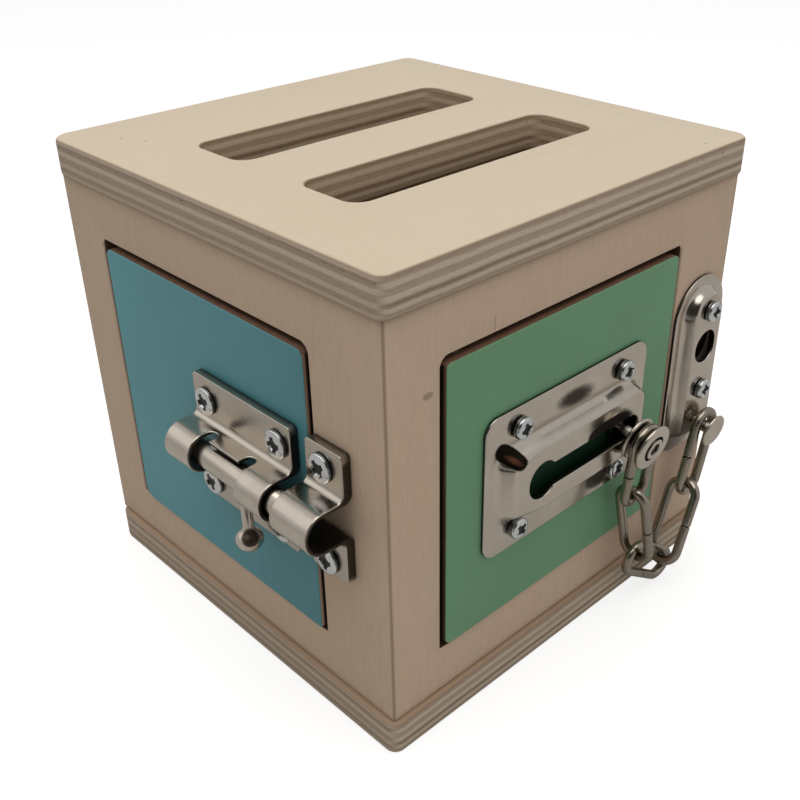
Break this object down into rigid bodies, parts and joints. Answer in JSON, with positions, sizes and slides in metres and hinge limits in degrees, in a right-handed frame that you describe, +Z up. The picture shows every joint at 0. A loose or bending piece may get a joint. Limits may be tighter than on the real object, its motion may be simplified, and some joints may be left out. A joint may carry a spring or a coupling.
{
  "type": "wooden latch box",
  "caption": "Plywood cube box with slotted top and hinged painted doors, closed by a turning slide bolt and a chained stud in a keyhole track.",
  "frame": {"origin": "centre of the underside of the box", "axes": "+Z up; the green front door faces -Y and the teal side door faces -X"},
  "size_m": [0.1646, 0.1657, 0.149],
  "materials": {
    "birch_plywood": "bare sanded birch plywood",
    "teal_paint": "plywood with satin teal paint",
    "green_paint": "plywood with satin green paint",
    "nickel_plate": "polished nickel plate on steel",
    "zinc_screw": "bright zinc plated steel",
    "chain_nickel": "tumbled nickel plated steel wire"
  },
  "bodies": {
    "box": {"anchor_plate": "nickel_plate", "anchor_screw_1": "zinc_screw", "anchor_screw_2": "zinc_screw", "anchor_stud": "nickel_plate", "back_wall": "birch_plywood", "bolt_keeper": "nickel_plate", "bottom_plate": "birch_plywood", "front_door_pin_lower": "zinc_screw", "front_door_pin_upper": "zinc_screw", "front_door_stop": "birch_plywood", "front_wall": "birch_plywood", "keeper_screw_1": "zinc_screw", "keeper_screw_2": "zinc_screw", "left_wall": "birch_plywood", "right_wall": "birch_plywood", "side_door_pin_lower": "zinc_screw", "side_door_pin_upper": "zinc_screw", "side_door_stop": "birch_plywood", "top_plate": "birch_plywood"},
    "side_door": {"side_door": "teal_paint", "bolt_body": "nickel_plate", "bolt_screw_1": "zinc_screw", "bolt_screw_2": "zinc_screw", "bolt_screw_3": "zinc_screw", "bolt_screw_4": "zinc_screw"},
    "bolt_rod": {"bolt_rod": "nickel_plate"},
    "bolt_knob": {"bolt_knob": "nickel_plate"},
    "front_door": {"front_door": "green_paint", "keyhole_plate": "nickel_plate", "keyhole_plate_screw_1": "zinc_screw", "keyhole_plate_screw_2": "zinc_screw", "keyhole_plate_screw_3": "zinc_screw", "keyhole_plate_screw_4": "zinc_screw"},
    "slide_stud": {"slide_stud": "nickel_plate"},
    "link_a": {"chain_link_a": "chain_nickel"},
    "link_b": {"chain_link_b": "chain_nickel"},
    "link_c_upper": {"chain_link_c_upper": "chain_nickel"},
    "link_e": {"chain_link_e": "chain_nickel"},
    "link_d": {"chain_link_d": "chain_nickel"},
    "link_c_lower": {"chain_link_c_lower": "chain_nickel"}
  },
  "joints": [
    {"name": "front_door_hinge", "type": "hinge", "parent": "box", "child": "front_door", "pos_m": [-0.0474, -0.0698, 0.0745], "axis": [0, 0, -1], "range_deg": [0, 100]},
    {"name": "side_door_hinge", "type": "hinge", "parent": "box", "child": "side_door", "pos_m": [-0.0698, 0.0474, 0.0745], "axis": [0, 0, -1], "range_deg": [0, 100]},
    {"name": "bolt_slide", "type": "slide", "parent": "side_door", "child": "bolt_rod", "axis": [0, 1, 0], "range_m": [0, 0.0136]},
    {"name": "bolt_turn", "type": "hinge", "parent": "bolt_rod", "child": "bolt_knob", "pos_m": [-0.0831, -0.0225, 0.0764], "axis": [0, 1, 0], "range_deg": [0, 120]},
    {"name": "stud_slide", "type": "slide", "parent": "front_door", "child": "slide_stud", "axis": [-1, 0, 0], "range_m": [0, 0.0399]},
    {"name": "link_a_swing", "type": "hinge", "parent": "slide_stud", "child": "link_a", "pos_m": [0.0187, -0.08599, 0.06986], "axis": [0, 0.9833, 0.1822], "range_deg": [0, 20]},
    {"name": "link_b_swing", "type": "hinge", "parent": "link_a", "child": "link_b", "pos_m": [0.0214, -0.08245, 0.04619], "axis": [-0.9823, 0.0277, -0.185], "range_deg": [0, 40]},
    {"name": "link_c_upper_swing", "type": "hinge", "parent": "link_b", "child": "link_c_upper", "pos_m": [0.02622, -0.08281, 0.0212], "axis": [-0.0139, 0.9973, 0.0723], "range_deg": [0, 15]},
    {"name": "link_e_swing", "type": "hinge", "parent": "box", "child": "link_e", "pos_m": [0.0605, -0.0815, 0.057], "axis": [0, -1, 0], "range_deg": [0, 25]},
    {"name": "link_d_swing", "type": "hinge", "parent": "link_e", "child": "link_d", "pos_m": [0.05326, -0.0815, 0.03303], "axis": [-0.9085, 0, 0.4179], "range_deg": [0, 40]},
    {"name": "link_c_lower_swing", "type": "hinge", "parent": "link_d", "child": "link_c_lower", "pos_m": [0.04261, -0.08196, 0.00989], "axis": [0.0285, 0.9977, 0.0619], "range_deg": [0, 15]}
  ]
}
